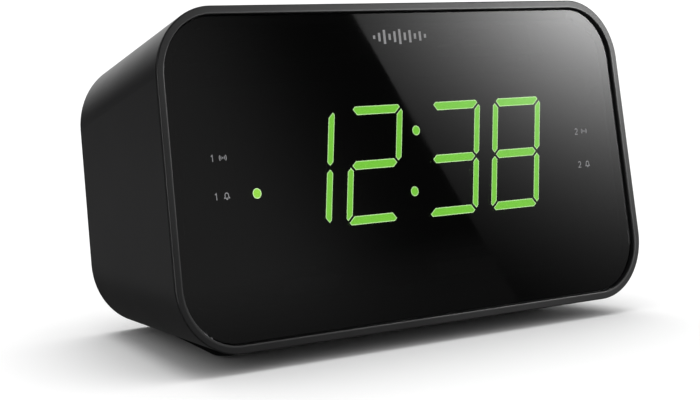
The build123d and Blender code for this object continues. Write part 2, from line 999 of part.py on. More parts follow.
spring_length = 4.4
spring_radius = 2.6
spring_wire = 0.25
spring_turns = 4
with BuildPart() as battery_springs:
    for side in (-1, 1):
        start = BACK.from_local_coords(
            Vector(
                bay_centre[0] + side * (bay_size[0] / 2 - contact_thickness - spring_wire),
                bay_centre[1] + side * cell_offset,
                -cover_inner - bay_depth / 2,
            )
        )
        with BuildLine() as coil:
            Helix(
                pitch=spring_length / spring_turns,
                height=spring_length,
                radius=spring_radius,
                center=start,
                direction=-side * BACK.x_dir,
            )
        with BuildSketch(Plane(origin=coil.line @ 0, z_dir=coil.line % 0)):
            Circle(spring_wire)
        sweep(path=coil.line, is_frenet=True)
battery_springs.part.label = "battery_springs"
export_step(battery_springs.part, "parts/battery_springs.step")

# ---------------------------------------------------------------- power inlet and antenna
inlet_body = (9.0, 11.0, 14.0)
inlet_depth = inlet_pin_length + 0.6
pin_chamfer = 0.3
pin_tail = 2.0
tail_radius = 0.7
tail_hole = tail_radius + 0.05
with BuildPart() as power_inlet:
    blocks(
        BACK.offset(-cover_inner), [inlet_centre], inlet_body[:2], -inlet_body[2]
    )
    pins(
        BACK.offset(-cover_inner),
        [inlet_centre],
        inlet_bore,
        -inlet_depth,
        Mode.SUBTRACT,
    )
    pins(
        BACK.offset(-cover_inner),
        [inlet_centre],
        tail_hole,
        -inlet_depth - pin_tail,
        Mode.SUBTRACT,
    )
power_inlet.part.label = "power_inlet"
export_step(power_inlet.part, "parts/power_inlet.step")

inlet_floor = BACK.offset(-cover_inner - inlet_depth)
with BuildPart() as inlet_centre_pin:
    pins(inlet_floor, [inlet_centre], inlet_pin, inlet_pin_length)
    chamfer(inlet_centre_pin.faces().sort_by(OUT_OF_BACK)[-1].edges(), pin_chamfer)
    pins(inlet_floor, [inlet_centre], tail_radius, -pin_tail)
inlet_centre_pin.part.label = "inlet_centre_pin"
export_step(inlet_centre_pin.part, "parts/inlet_centre_pin.step")

grommet_head = 4.0
grommet_waist = antenna_hole - 0.05
grommet_tail = 3.5
grommet_bore = 1.1
grommet_lip = 1.0
with BuildPart() as antenna_grommet:
    pins(BACK.offset(-cover_recess), [antenna_centre], grommet_head, grommet_lip)
    fillet(antenna_grommet.faces().sort_by(OUT_OF_BACK)[-1].edges(), grommet_lip / 2)
    pins(
        BACK.offset(-cover_recess), [antenna_centre], grommet_waist, -cover_thickness
    )
    pins(BACK.offset(-cover_inner), [antenna_centre], grommet_tail, -grommet_lip)
    pins(
        BACK.offset(grommet_lip),
        [antenna_centre],
        grommet_bore,
        -cover_inner - 3 * grommet_lip,
        Mode.SUBTRACT,
    )
antenna_grommet.part.label = "antenna_grommet"
export_step(antenna_grommet.part, "parts/antenna_grommet.step")

# ---------------------------------------------------------------- speaker
# Section through the speaker's axis: x is the radius, y runs in from the cover
speaker_origin = BACK.from_local_coords(Vector(*speaker_centre, -cover_inner))
SPEAKER = Plane(
    origin=speaker_origin, x_dir=(1, 0, 0), z_dir=Vector(1, 0, 0).cross(-BACK.z_dir)
)
speaker_axis = Axis(speaker_origin, BACK.z_dir)
basket_inner = 20.2
basket_outer = speaker_radius
basket_mouth = 21.6
basket_sheet = 0.9
neck_radius = 6.0
basket_depth = 12.2
plate_depth = basket_depth + 1.0
plate_radius = 12.0
plate_thickness = 1.2
magnet_radius = 14.0
magnet_thickness = 6.0
magnet_end = plate_depth + 2 * plate_thickness + magnet_thickness
cone_radius = 17.3
cone_rim_depth = 2.05
cone_neck_depth = 8.0
cone_thickness = 0.4
coil_thickness = 0.6

speaker_profiles = {
    "speaker_basket": [
        (basket_inner, 0),
        (basket_outer, 0),
        (basket_outer, flange_thickness),
        (basket_mouth, flange_thickness),
        (plate_radius + 2 * basket_sheet, basket_depth),
        (plate_radius + 2 * basket_sheet, plate_depth),
        (neck_radius + 1, plate_depth),
        (neck_radius + 1, basket_depth),
        (plate_radius + basket_sheet, basket_depth),
        (basket_inner, 2 * basket_sheet),
    ],
    "speaker_magnet": [
        (0, plate_depth),
        (plate_radius, plate_depth),
        (plate_radius, plate_depth + plate_thickness),
        (magnet_radius, plate_depth + plate_thickness),
        (magnet_radius, magnet_end - plate_thickness),
        (plate_radius, magnet_end - plate_thickness),
        (plate_radius, magnet_end),
        (0, magnet_end),
    ],
    "speaker_cone": [
        (cone_radius, cone_rim_depth),
        (neck_radius, cone_neck_depth),
        (neck_radius, cone_neck_depth + cone_thickness),
        (cone_radius, cone_rim_depth + cone_thickness),
    ],
    "voice_coil": [
        (neck_radius - coil_thickness, cone_neck_depth + 0.5),
        (neck_radius, cone_neck_depth + 0.5),
        (neck_radius, plate_depth - 0.1),
        (neck_radius - coil_thickness, plate_depth - 0.1),
    ],
}
for name, profile in speaker_profiles.items():
    with BuildPart() as round_part:
        with BuildSketch(SPEAKER):
            Polygon(*profile, align=None)
        revolve(axis=speaker_axis)
    round_part.part.label = name
    export_step(round_part.part, f"parts/{name}.step")

# A half roll of rubber between the cone and the basket
roll_centre = (18.58, 2.25)
roll_radius = 1.22
roll_thickness = 0.42
with BuildPart() as speaker_surround:
    with BuildSketch(SPEAKER):
        with BuildLine():
            outer_roll = CenterArc(roll_centre, roll_radius, 180, 180)
            inner_roll = CenterArc(roll_centre, roll_radius - roll_thickness, 180, 180)
            Line(outer_roll @ 0, inner_roll @ 0)
            Line(outer_roll @ 1, inner_roll @ 1)
        make_face()
    revolve(axis=speaker_axis)
speaker_surround.part.label = "speaker_surround"
export_step(speaker_surround.part, "parts/speaker_surround.step")

# A shallow dome over the voice coil
dome_centre = (0, 15.14)
dome_radius = 9.34
dome_sweep = 39
with BuildPart() as dust_cap:
    with BuildSketch(SPEAKER):
        with BuildLine():
            crown = CenterArc(dome_centre, dome_radius, 270, dome_sweep)
            inside = CenterArc(
                dome_centre, dome_radius - cone_thickness, 270, dome_sweep
            )
            Line(crown @ 1, inside @ 1)
            Line(crown @ 0, inside @ 0)
        make_face()
    revolve(axis=speaker_axis)
dust_cap.part.label = "dust_cap"
export_step(dust_cap.part, "parts/dust_cap.step")

# ---------------------------------------------------------------- base
base_length = base_back - base_front
base_rear_half = base_half_width - base_taper * base_length
base_y = front_centre_y + base_front
counterbore = (2.8, 3.0)
foot_places = [
    (side * x, front_centre_y + y) for side in (-1, 1) for x, y in foot_corners
]
with BuildPart() as base_plinth:
    with BuildSketch(Plane.XY.offset(base_underside)):
        with BuildLine():
            Polyline(
                (-base_half_width, base_y),
                (base_half_width, base_y),
                (base_rear_half, base_y + base_length),
                (-base_rear_half, base_y + base_length),
                close=True,
            )
        make_face()
        fillet(vertices(), base_radius)
    extrude(amount=front_centre_height)
    split(bisect_by=BOTTOM, keep=Keep.BOTTOM)
    pins(
        flipped(BOTTOM.offset(-1)),
        base_screw_places,
        counterbore[0],
        wall + counterbore[1],
        Mode.SUBTRACT,
    )
    pins(
        flipped(BOTTOM.offset(wall)),
        base_screw_places,
        base_hole + 0.1,
        3 * wall,
        Mode.SUBTRACT,
    )
    pins(Plane.XY, foot_places, foot_radius + foot_gap, foot_height, Mode.SUBTRACT)
base_plinth.part.label = "base_plinth"
export_step(base_plinth.part, "parts/base_plinth.step")

with BuildPart() as rubber_feet:
    pins(Plane.XY, foot_places, foot_radius, foot_height)
    chamfer(rubber_feet.faces().group_by(Axis.Z)[0].edges(), 0.3)
rubber_feet.part.label = "rubber_feet"
export_step(rubber_feet.part, "parts/rubber_feet.step")

# ---------------------------------------------------------------- screws
with BuildPart() as board_screws:
    pan_head_screws(
        flipped(key_board_under), key_board_screws, board_screw, board_screw_length
    )
    pan_head_screws(
        BOTTOM.offset(board_top), main_board_screws, board_screw, board_screw_length
    )
    pan_head_screws(
        flipped(at_depth(display_board_back)),
        display_screws,
        board_screw,
        board_screw_length,
    )
board_screws.part.label = "board_screws"
export_step(board_screws.part, "parts/board_screws.step")

with BuildPart() as speaker_screws:
    pan_head_screws(
        flipped(BACK.offset(-cover_inner - flange_thickness)),
        [(-x, y) for x, y in speaker_screw_places],
        board_screw,
        flange_thickness + 1.0,
    )
speaker_screws.part.label = "speaker_screws"
export_step(speaker_screws.part, "parts/speaker_screws.step")

with BuildPart() as rear_screws:
    pan_head_screws(
        BACK.offset(-cover_recess - screw_seat),
        rear_screw_places,
        rear_screw,
        rear_screw_length,
    )
rear_screws.part.label = "rear_screws"
export_step(rear_screws.part, "parts/rear_screws.step")

with BuildPart() as base_screws:
    pan_head_screws(
        flipped(BOTTOM.offset(-1)), base_screw_places, base_screw, base_screw_length
    )
base_screws.part.label = "base_screws"
export_step(base_screws.part, "parts/base_screws.step")
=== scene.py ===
import json
from math import cos, radians, sin

import bmesh
import bpy
from mathutils import Matrix, Vector


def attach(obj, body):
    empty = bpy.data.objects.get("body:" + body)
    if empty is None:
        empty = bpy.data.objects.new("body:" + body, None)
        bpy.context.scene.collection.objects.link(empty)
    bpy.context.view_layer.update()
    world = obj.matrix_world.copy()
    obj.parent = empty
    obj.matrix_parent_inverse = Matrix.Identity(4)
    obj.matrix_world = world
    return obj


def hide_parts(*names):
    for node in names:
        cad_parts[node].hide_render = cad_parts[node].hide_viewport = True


# Bedside clock radio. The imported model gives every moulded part; this script adds materials,
# the glowing display faces, the printed marks, a plain studio and the camera.

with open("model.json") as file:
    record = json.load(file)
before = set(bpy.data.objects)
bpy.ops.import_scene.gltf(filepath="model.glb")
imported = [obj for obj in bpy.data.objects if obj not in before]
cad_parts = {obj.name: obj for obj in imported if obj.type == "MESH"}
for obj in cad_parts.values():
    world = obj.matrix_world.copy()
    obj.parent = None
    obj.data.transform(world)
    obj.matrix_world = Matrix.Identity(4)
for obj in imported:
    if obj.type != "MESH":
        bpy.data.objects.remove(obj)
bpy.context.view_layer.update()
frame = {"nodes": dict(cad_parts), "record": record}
nodes = frame["nodes"]
slot_of = {s["node"]: s["material_slot"] for s in frame["record"]["subparts"]}
MM = 0.001


# ---------------------------------------------------------------- node helpers
def principled(tree):
    """The tree's Principled shader."""
    return next(n for n in tree.nodes if n.type == "BSDF_PRINCIPLED")


def shader_tree(name):
    """A new material with one Principled shader; returns the material, its tree and the shader."""
    material = bpy.data.materials.new(name)
    material.use_nodes = True
    tree = material.node_tree
    return material, tree, principled(tree)


def add_node(tree, kind, **settings):
    """A node with its settings; a setting named after an input sets that input's value."""
    node = tree.nodes.new(kind)
    for key, value in settings.items():
        if hasattr(node, key):
            setattr(node, key, value)
        else:
            node.inputs[key.replace("_", " ")].default_value = value
    return node


def math_node(tree, operation, *values):
    """A maths node fed by numbers or sockets; returns its result."""
    node = add_node(tree, "ShaderNodeMath", operation=operation)
    for socket, value in zip(node.inputs, values):
        if isinstance(value, bpy.types.NodeSocket):
            tree.links.new(value, socket)
        else:
            socket.default_value = value
    return node.outputs[0]


def product(tree, *values):
    """The product of numbers and sockets."""
    result = values[0]
    for value in values[1:]:
        result = math_node(tree, "MULTIPLY", result, value)
    return result


def along(tree, vector, direction):
    """How far a vector socket reaches along a direction."""
    node = add_node(tree, "ShaderNodeVectorMath", operation="DOT_PRODUCT")
    tree.links.new(vector, node.inputs[0])
    node.inputs[1].default_value = tuple(direction)
    return node.outputs["Value"]


def ranged(tree, value, low, high, start=0.3, end=0.7):
    """value, held between start and end, mapped to low to high."""
    node = add_node(tree, "ShaderNodeMapRange")
    ranges = {"From Min": start, "From Max": end, "To Min": low, "To Max": high}
    for socket, number in ranges.items():
        node.inputs[socket].default_value = number
    tree.links.new(value, node.inputs["Value"])
    return node.outputs["Result"]


def fade(tree, value, middle, width):
    """Smooth step from 0 to 1 around middle."""
    share = math_node(tree, "DIVIDE", math_node(tree, "SUBTRACT", middle, value), width)
    falling = math_node(tree, "ADD", 1.0, math_node(tree, "EXPONENT", share))
    return math_node(tree, "DIVIDE", 1.0, falling)


def blended(tree, factor, first, second):
    """Colour from first to second by factor; each is a colour or a socket."""
    node = add_node(tree, "ShaderNodeMix", data_type="RGBA")
    tree.links.new(factor, node.inputs["Factor"])
    colours = [s for s in node.inputs if s.type == "RGBA"]
    for socket, colour in zip(colours, (first, second)):
        if isinstance(colour, bpy.types.NodeSocket):
            tree.links.new(colour, socket)
        else:
            socket.default_value = (*colour[:3], 1.0)
    return next(s for s in node.outputs if s.type == "RGBA")


def object_noise(tree, size, detail=3.0, roughness=0.5, stretch=(1, 1, 1)):
    """Noise in the object's own coordinates whose blotches are about size metres across."""
    place = add_node(tree, "ShaderNodeTexCoord")
    mapping = add_node(tree, "ShaderNodeMapping", Scale=stretch)
    noise = add_node(
        tree, "ShaderNodeTexNoise", Scale=1.0 / size, Detail=detail, Roughness=roughness
    )
    tree.links.new(place.outputs["Object"], mapping.inputs["Vector"])
    tree.links.new(mapping.outputs["Vector"], noise.inputs["Vector"])
    return noise.outputs["Fac"]


def edge_mask(tree, radius):
    """1 along sharp edges, falling to 0 within radius of them."""
    bevel = add_node(tree, "ShaderNodeBevel", samples=4, Radius=radius)
    geometry = add_node(tree, "ShaderNodeNewGeometry")
    agreement = add_node(tree, "ShaderNodeVectorMath", operation="DOT_PRODUCT")
    tree.links.new(bevel.outputs["Normal"], agreement.inputs[0])
    tree.links.new(geometry.outputs["Normal"], agreement.inputs[1])
    at_edge, on_flat = 0.86, 0.995
    return ranged(tree, agreement.outputs["Value"], 1.0, 0.0, start=at_edge, end=on_flat)


def bumped(tree, shader, height, distance):
    """Feeds a height into the shader's normal as a bump of that distance."""
    bump = add_node(tree, "ShaderNodeBump", Distance=distance, Strength=1.0)
    tree.links.new(height, bump.inputs["Height"])
    tree.links.new(bump.outputs["Normal"], shader.inputs["Normal"])


def scaled(colour, factor):
    """The colour made lighter or darker by a factor, within white."""
    return tuple(min(1.0, c * factor) for c in colour)


# ---------------------------------------------------------------- materials
# Moulded surfaces: the size of soft blotches and how far they shift the colour and the roughness,
# how much paler than the plastic the grain and rubbed edges are, and how the wear lies on an edge
BLOTCH_SIZE = 28 * MM
BLOTCH_TINT = 0.12
BLOTCH_ROUGHNESS = 0.08
GRAIN_TINT = 1.5
WORN_TINT = 2.2
WORN_WIDTH = 0.35 * MM
WORN_PATCH = 6 * MM


def moulded(name, colour, roughness, grain=0.35 * MM, depth=0.012 * MM, wear=0.0, specular=0.5):
    """Moulded plastic or rubber: fine spark-eroded grain, soft blotches and rubbed edges."""
    material, tree, shader = shader_tree(name)
    blotches = object_noise(tree, BLOTCH_SIZE, detail=2.0)
    speckle = object_noise(tree, grain, detail=2.0, roughness=0.6)
    darker, lighter = scaled(colour, 1 - BLOTCH_TINT), scaled(colour, 1 + BLOTCH_TINT)
    tint = blended(tree, ranged(tree, blotches, 0.0, 1.0), darker, lighter)
    tint = blended(tree, ranged(tree, speckle, 0.0, 0.35), tint, scaled(colour, GRAIN_TINT))
    smoother, rougher = roughness * (1 - BLOTCH_ROUGHNESS), roughness * (1 + BLOTCH_ROUGHNESS)
    rough = ranged(tree, blotches, smoother, min(1.0, rougher))
    if wear:
        patches = ranged(tree, object_noise(tree, WORN_PATCH), 0.2, wear)
        rubbed = product(tree, edge_mask(tree, WORN_WIDTH), patches)
        tint = blended(tree, rubbed, tint, scaled(colour, WORN_TINT))
    tree.links.new(tint, shader.inputs["Base Color"])
    tree.links.new(rough, shader.inputs["Roughness"])
    shader.inputs["Specular IOR Level"].default_value = specular
    bumped(tree, shader, speckle, depth)
    return material


def metal(name, colour, roughness, metallic=1.0, brushed=(1, 1, 1)):
    """Plated, drawn or sintered metal with fine lines or grain."""
    material, tree, shader = shader_tree(name)
    line_width, line_depth, patch_size = 0.25 * MM, 0.006 * MM, 9 * MM
    lines = object_noise(tree, line_width, detail=4.0, stretch=brushed)
    patches = object_noise(tree, patch_size)
    darker, lighter = scaled(colour, 0.82), scaled(colour, 1.12)
    tint = blended(tree, ranged(tree, patches, 0.0, 1.0), darker, lighter)
    rough = ranged(tree, lines, roughness * 0.75, roughness * 1.3)
    tree.links.new(tint, shader.inputs["Base Color"])
    tree.links.new(rough, shader.inputs["Roughness"])
    shader.inputs["Metallic"].default_value = metallic
    bumped(tree, shader, lines, line_depth)
    return material


def circuit_board(name):
    """Laminate under green solder mask, with copper tracks showing as a lighter maze."""
    material, tree, shader = shader_tree(name)
    mask_green, track_green = (0.012, 0.075, 0.03), (0.03, 0.16, 0.06)
    track_spacing, track_height, sheen_patch = 5 * MM, 0.03 * MM, 3 * MM
    place = add_node(tree, "ShaderNodeTexCoord")
    cells = add_node(
        tree, "ShaderNodeTexVoronoi", distance="CHEBYCHEV", feature="F2", Scale=1 / track_spacing
    )
    tree.links.new(place.outputs["Object"], cells.inputs["Vector"])
    tracks = ranged(tree, cells.outputs["Distance"], 0.0, 1.0, start=0.42, end=0.5)
    tree.links.new(blended(tree, tracks, mask_green, track_green), shader.inputs["Base Color"])
    rough = ranged(tree, object_noise(tree, sheen_patch), 0.3, 0.42)
    tree.links.new(rough, shader.inputs["Roughness"])
    bumped(tree, shader, tracks, track_height)
    return material


def paper_pulp(name, colour):
    """Pressed paper pulp with a fibrous, matt surface."""
    material, tree, shader = shader_tree(name)
    fibres = object_noise(tree, 0.6 * MM, detail=6.0, roughness=0.7)
    tint = blended(tree, ranged(tree, fibres, 0.0, 1.0), scaled(colour, 0.7), scaled(colour, 1.4))
    tree.links.new(tint, shader.inputs["Base Color"])
    shader.inputs["Roughness"].default_value = 0.9
    bumped(tree, shader, fibres, 0.08 * MM)
    return material


def smoked_window(name):
    """Polished smoked acrylic: dark through its body, mirror smooth, with faint wiping haze."""
    material, tree, shader = shader_tree(name)
    shader.inputs["Base Color"].default_value = (0.04, 0.04, 0.041, 1.0)
    shader.inputs["Transmission Weight"].default_value = 1.0
    shader.inputs["IOR"].default_value = 1.49
    haze = object_noise(tree, 14 * MM, detail=4.0, stretch=(1, 1, 0.4))
    tree.links.new(ranged(tree, haze, 0.012, 0.035), shader.inputs["Roughness"])
    return material


def glowing(name, colour, strength):
    """Frosted diffuser lit from behind, very slightly uneven."""
    material, tree, shader = shader_tree(name)
    shader.inputs["Base Color"].default_value = (*scaled(colour, 0.25), 1.0)
    shader.inputs["Roughness"].default_value = 0.6
    cloud = object_noise(tree, 3 * MM, detail=1.0)
    tint = blended(tree, ranged(tree, cloud, 0.0, 1.0), scaled(colour, 0.96), colour)
    tree.links.new(tint, shader.inputs["Emission Color"])
    shader.inputs["Emission Strength"].default_value = strength
    material.cycles.emission_sampling = "NONE"
    return material


def printed_ink(name, colour, roughness=0.6):
    """Pad-printed ink, almost flat."""
    return moulded(name, colour, roughness, depth=0.001 * MM)


CABINET = (0.0107, 0.0107, 0.0112)
FRAME = (0.0072, 0.0072, 0.0076)
FRAME_SPECULAR = 0.4
SHADED_BASE = (0.003, 0.003, 0.003)
KEYS = (0.03, 0.03, 0.032)
CORE_GREEN = (0.185, 0.57, 0.05)
GLOW = 28.0
materials = {
    "cabinet_black": moulded("cabinet_plastic", CABINET, 0.3, wear=0.5),
    "frame_black": moulded(
        "frame_plastic",
        FRAME,
        0.33,
        grain=0.22 * MM,
        depth=0.004 * MM,
        wear=0.4,
        specular=FRAME_SPECULAR,
    ),
    "key_black": moulded("key_plastic", KEYS, 0.42, grain=0.25 * MM, depth=0.008 * MM, wear=0.7),
    "smoked_window": smoked_window("window_acrylic"),
    "gasket_foam": moulded("gasket_foam", (0.01, 0.01, 0.01), 0.95, grain=0.3 * MM, depth=0.05 * MM),
    "reflector_black": moulded("reflector_plastic", (0.012, 0.012, 0.012), 0.8),
    "segment_lit": glowing("segment_core", CORE_GREEN, GLOW),
    "segment_dark": moulded("segment_unlit", (0.02, 0.024, 0.02), 0.5),
    "circuit_board": circuit_board("board_laminate"),
    "led_body": moulded("led_body", (0.75, 0.72, 0.5), 0.35),
    "component_black": moulded("component_plastic", (0.018, 0.018, 0.018), 0.45, wear=0.4),
    "plunger_plastic": moulded("plunger_plastic", (0.5, 0.5, 0.5), 0.4),
    "shield_can": metal("tinned_shield", (0.6, 0.6, 0.61), 0.35, brushed=(1, 12, 1)),
    "capacitor_can": moulded("capacitor_sleeve", (0.03, 0.035, 0.07), 0.3, depth=0.003 * MM),
    "connector_plastic": moulded("connector_nylon", (0.68, 0.65, 0.55), 0.4),
    "ribbon_plastic": moulded("ribbon_insulation", (0.4, 0.4, 0.41), 0.45),
    "sprung_steel": metal("nickel_plate", (0.62, 0.6, 0.56), 0.28),
    "inlet_metal": metal("inlet_pin_plate", (0.7, 0.68, 0.64), 0.2),
    "soft_rubber": moulded("soft_rubber", (0.018, 0.018, 0.018), 0.75, depth=0.02 * MM, wear=0.4),
    "basket_steel": metal("basket_steel", (0.08, 0.08, 0.08), 0.45, metallic=0.3),
    "magnet_ferrite": metal("ferrite", (0.07, 0.07, 0.075), 0.6, metallic=0.2),
    "cone_paper": paper_pulp("cone_paper", (0.03, 0.03, 0.03)),
    "coil_copper": metal("enamelled_copper", (0.6, 0.25, 0.1), 0.3, brushed=(1, 1, 20)),
    "screw_black": metal("black_zinc", (0.06, 0.06, 0.062), 0.4, metallic=0.8),
    "screw_plated": metal("zinc_plate", (0.55, 0.55, 0.56), 0.35),
}
for name, node in nodes.items():
    node.data.materials.clear()
    node.data.materials.append(materials[slot_of[name]])
# The base plinth is black plastic, painted darker than the cabinet and given less gloss, as painted
# shade where it lies under the body
nodes["base_plinth"].data.materials[0] = moulded("base_plastic_and_shade", SHADED_BASE, 0.7, specular=0.1)


# ---------------------------------------------------------------- places on the CAD faces
FRONT_LEAN = radians(10.3)
BACK_LEAN = radians(7.3)
TOP_SLOPE = radians(15.734)
FRONT_WAY = (0, -cos(FRONT_LEAN), sin(FRONT_LEAN))
BACK_WAY = (0, cos(BACK_LEAN), -sin(BACK_LEAN))
TOP_WAY = (0, sin(TOP_SLOPE), cos(TOP_SLOPE))


def face_plane(node, outward, right=(1, 0, 0)):
    """Matrix of a node's flat face that looks outward: x to the right, y up, z out, at its middle."""
    aligned, same_level = 0.9995, 0.1 * MM
    mesh = nodes[node].data
    outward = Vector(outward).normalized()
    facing = [p for p in mesh.polygons if p.normal.dot(outward) > aligned]
    outermost = max(outward.dot(p.center) for p in facing)
    faces = [p for p in facing if outward.dot(p.center) > outermost - same_level]
    normal = sum((p.normal * p.area for p in faces), Vector()).normalized()
    x_axis = (Vector(right) - normal * normal.dot(Vector(right))).normalized()
    y_axis = normal.cross(x_axis)
    points = [mesh.vertices[i].co for p in faces for i in p.vertices]
    middle = Vector()
    for axis in (x_axis, y_axis, normal):
        reaches = [axis.dot(p) for p in points]
        middle += axis * (min(reaches) + max(reaches)) / 2
    plane = Matrix((x_axis, y_axis, normal)).transposed().to_4x4()
    plane.translation = middle
    return plane


window = face_plane("display_lens", FRONT_WAY)
back = face_plane("rear_cover", BACK_WAY, right=(-1, 0, 0))

# The frame's opening: half its width at mid height, half its height, its corner radius, and how
# far its sides lean in for each metre up
OPENING_HALF_WIDTH = 74.94 * MM
OPENING_HALF_HEIGHT = 39.49 * MM
OPENING_RADIUS = 14.84 * MM
OPENING_LEAN = 0.0244


def opening_distance(tree):
    """Distance outward from the edge of the frame's opening, across the face."""
    place = add_node(tree, "ShaderNodeTexCoord").outputs["Object"]
    across, up = (
        math_node(tree, "SUBTRACT", along(tree, place, way), way.dot(window.translation))
        for way in (window.to_3x3().col[0], window.to_3x3().col[1])
    )
    leaning = math_node(tree, "MULTIPLY", up, OPENING_LEAN)
    beside = math_node(tree, "ADD", math_node(tree, "ABSOLUTE", across), leaning)
    beside = math_node(tree, "SUBTRACT", beside, OPENING_HALF_WIDTH - OPENING_RADIUS)
    rise = math_node(tree, "ABSOLUTE", up)
    above = math_node(tree, "SUBTRACT", rise, OPENING_HALF_HEIGHT - OPENING_RADIUS)
    corner = add_node(tree, "ShaderNodeCombineXYZ")
    for socket, part in zip(corner.inputs, (beside, above)):
        tree.links.new(math_node(tree, "MAXIMUM", part, 0.0), socket)
    length = add_node(tree, "ShaderNodeVectorMath", operation="LENGTH")
    tree.links.new(corner.outputs[0], length.inputs[0])
    inner = math_node(tree, "MINIMUM", math_node(tree, "MAXIMUM", beside, above), 0.0)
    outer = math_node(tree, "SUBTRACT", length.outputs["Value"], OPENING_RADIUS)
    return math_node(tree, "ADD", inner, outer)


# The edge round the opening is polished, and a painted highlight makes it a little paler than the
# face of the frame
POLISH_AND_HIGHLIGHT_START = 0.1 * MM
POLISH_AND_HIGHLIGHT_END = 0.42 * MM
POLISH_AND_HIGHLIGHT_FADE = 0.15 * MM
PAINTED_HIGHLIGHT_TINT = 1.6
POLISH_SPECULAR = 0.85


def polish_and_paint_opening_highlight(material):
    """Makes a line round the frame's opening glossier and paints a highlight on it, paler than the
    face.
    """
    tree = material.node_tree
    shader = principled(tree)
    distance = opening_distance(tree)
    begun = ranged(tree, distance, 0.0, 1.0, start=POLISH_AND_HIGHLIGHT_START, end=POLISH_AND_HIGHLIGHT_START + POLISH_AND_HIGHLIGHT_FADE)
    ended = ranged(tree, distance, 1.0, 0.0, start=POLISH_AND_HIGHLIGHT_END, end=POLISH_AND_HIGHLIGHT_END + POLISH_AND_HIGHLIGHT_FADE)
    polish_and_highlight = product(tree, begun, ended)
    base_colour = shader.inputs["Base Color"]
    plastic = base_colour.links[0].from_socket
    # painted highlight: the line's base colour is made paler than the frame's plastic
    tree.links.new(blended(tree, polish_and_highlight, plastic, scaled(FRAME, PAINTED_HIGHLIGHT_TINT)), base_colour)
    specular = ranged(tree, polish_and_highlight, FRAME_SPECULAR, POLISH_SPECULAR, start=0.0, end=1.0)
    tree.links.new(specular, shader.inputs["Specular IOR Level"])


polish_and_paint_opening_highlight(materials["frame_black"])


# ---------------------------------------------------------------- lit display faces
# Widths of the dark margin and of the paler rim on each lit face
MARGIN = 0.06 * MM
RIM = 0.2 * MM


def inset_faces(shape, faces, thickness):
    """Draws each face in by thickness and returns the faces of the rings left round them."""
    return bmesh.ops.inset_individual(
        shape, faces=faces, thickness=thickness, use_even_offset=True
    )["faces"]


def lit_faces(node, name, cores, rims, is_second=None):
    """Copy of a CAD diffuser: its front faces get a dark margin where the reflector shades them,
    then a paler rim where light spills. Faces that is_second picks take the second core and rim."""
    same_point, flat, facing = 0.001 * MM, radians(1), 0.999
    shape = bmesh.new()
    shape.from_mesh(nodes[node].data)
    bmesh.ops.remove_doubles(shape, verts=shape.verts, dist=same_point)
    bmesh.ops.dissolve_limit(shape, angle_limit=flat, verts=shape.verts, edges=shape.edges)
    shape.normal_update()
    out = window.to_3x3() @ Vector((0, 0, 1))
    fronts = [f for f in shape.faces if f.normal.dot(out) > facing]
    for face in shape.faces:
        face.material_index = 0
    margin = inset_faces(shape, fronts, MARGIN)
    for face in inset_faces(shape, fronts, RIM):
        face.material_index = 1
    if is_second:
        for face in shape.faces:
            if is_second(face.calc_center_median()):
                face.material_index += 2
    for face in margin:
        face.material_index = 2 * len(cores)
    mesh = bpy.data.meshes.new(name)
    for core, rim in zip(cores, rims):
        mesh.materials.append(core)
        mesh.materials.append(rim)
    mesh.materials.append(materials["segment_dark"])
    shape.to_mesh(mesh)
    shape.free()
    piece = bpy.data.objects.new(name, mesh)
    bpy.context.scene.collection.objects.link(piece)
    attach(piece, "cabinet")
    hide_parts(node)


# The indicator dot at the far left shines a little yellower than the digits and the colon
DIGITS_LEFT = -40 * MM
segment_core = materials["segment_lit"]
segment_rim = glowing("segment_rim", (0.47, 0.77, 0.32), 1.05 * GLOW)
dot_core = glowing("indicator_core", (0.29, 0.68, 0.06), GLOW)
dot_rim = glowing("indicator_rim", (0.62, 0.92, 0.42), 1.05 * GLOW)
lit_faces("lit_segments", "segment_faces", [segment_core], [segment_rim])
lit_faces(
    "lit_dots",
    "dot_faces",
    [segment_core, dot_core],
    [segment_rim, dot_rim],
    is_second=lambda p: p.x < DIGITS_LEFT,
)


# ---------------------------------------------------------------- printed marks, in millimetres
PRINT_THICKNESS = 0.02
PRINT_LIFT = 0.004
LABEL_LINE = 0.22
HAND_LINE = 0.28
KEY_LINE = 0.3
PLAIN_LINE = 0.32
BOLD_LINE = 0.36
REAR_LINE = 0.24
AERIAL_LINE = 0.26
ARROW_LINE = 0.45


def stroke(points, width=PLAIN_LINE, closed=False):
    """A line of even width through points, as (left side, right side, closed)."""
    count = len(points)
    left, right = [], []
    for i, point in enumerate(points):
        here = Vector(point)
        before = Vector(points[i - 1]) if closed or i else None
        after = Vector(points[(i + 1) % count]) if closed or i < count - 1 else None
        incoming = (here - before).normalized() if before is not None else None
        outgoing = (after - here).normalized() if after is not None else None
        way = ((incoming or outgoing) + (outgoing or incoming)).normalized()
        side = Vector((-way.y, way.x))
        lean = way.dot(incoming or outgoing)
        reach = width / 2 / max(0.5, lean)
        left.append(here + side * reach)
        right.append(here - side * reach)
    return left, right, closed


def arc(centre, radius, start, end, steps):
    """Points of an arc, angles in degrees."""
    turns = [radians(start + (end - start) * i / steps) for i in range(steps + 1)]
    return [(centre[0] + radius * cos(t), centre[1] + radius * sin(t)) for t in turns]


def ring(centre, radius, width, steps=24):
    """A round line; its last point stops one step short of its first."""
    return stroke(arc(centre, radius, 0, 360 - 360 / steps, steps - 1), width, closed=True)


def disc(centre, radius):
    """A filled round dot: a ring so wide that only a speck is left open at its middle."""
    return ring(centre, radius / 2, radius * 0.98, steps=20)


def moved(points, shift, size=1.0):
    """The points scaled by size and then shifted."""
    return [(x * size + shift[0], y * size + shift[1]) for x, y in points]


